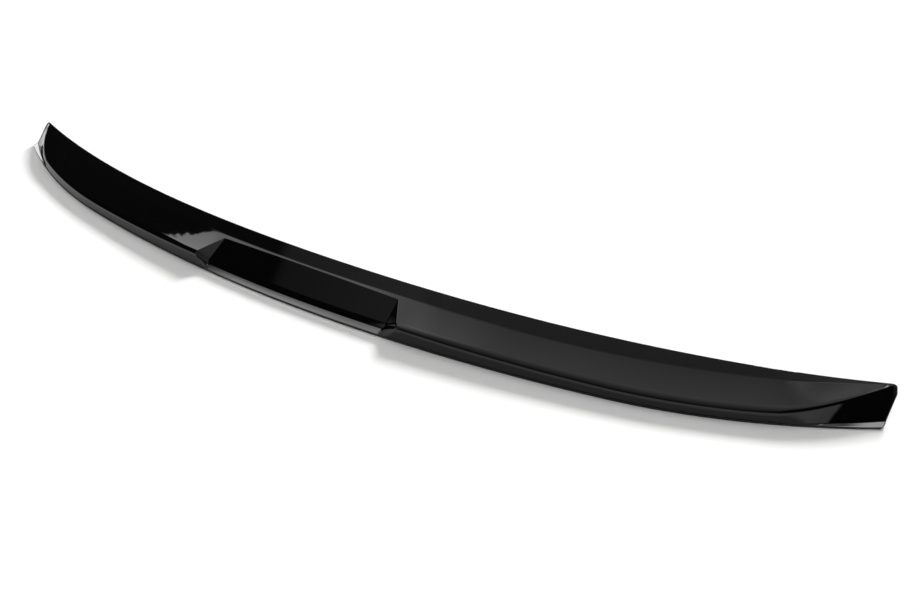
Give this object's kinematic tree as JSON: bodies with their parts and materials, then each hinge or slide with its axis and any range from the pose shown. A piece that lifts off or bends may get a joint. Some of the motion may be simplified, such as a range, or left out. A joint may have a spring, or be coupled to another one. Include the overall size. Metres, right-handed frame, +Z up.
{
  "type": "car rear spoiler",
  "caption": "Low bowed lip spoiler for a saloon's boot lid, a thin moulded gloss black shell with a recessed centre panel, swept tips and a flat foot along its rear rim.",
  "frame": {"origin": "centre of the overall box, on the plane of the rear rim's foot", "axes": "+X along the spoiler's length to the car's right, +Y to the front of the car, +Z up"},
  "size_m": [1.2666, 0.1616, 0.0274],
  "materials": {
    "gloss_black_abs": "injection-moulded ABS, polished gloss black"
  },
  "bodies": {
    "root": {"spoiler_shell": "gloss_black_abs"}
  },
  "joints": []
}
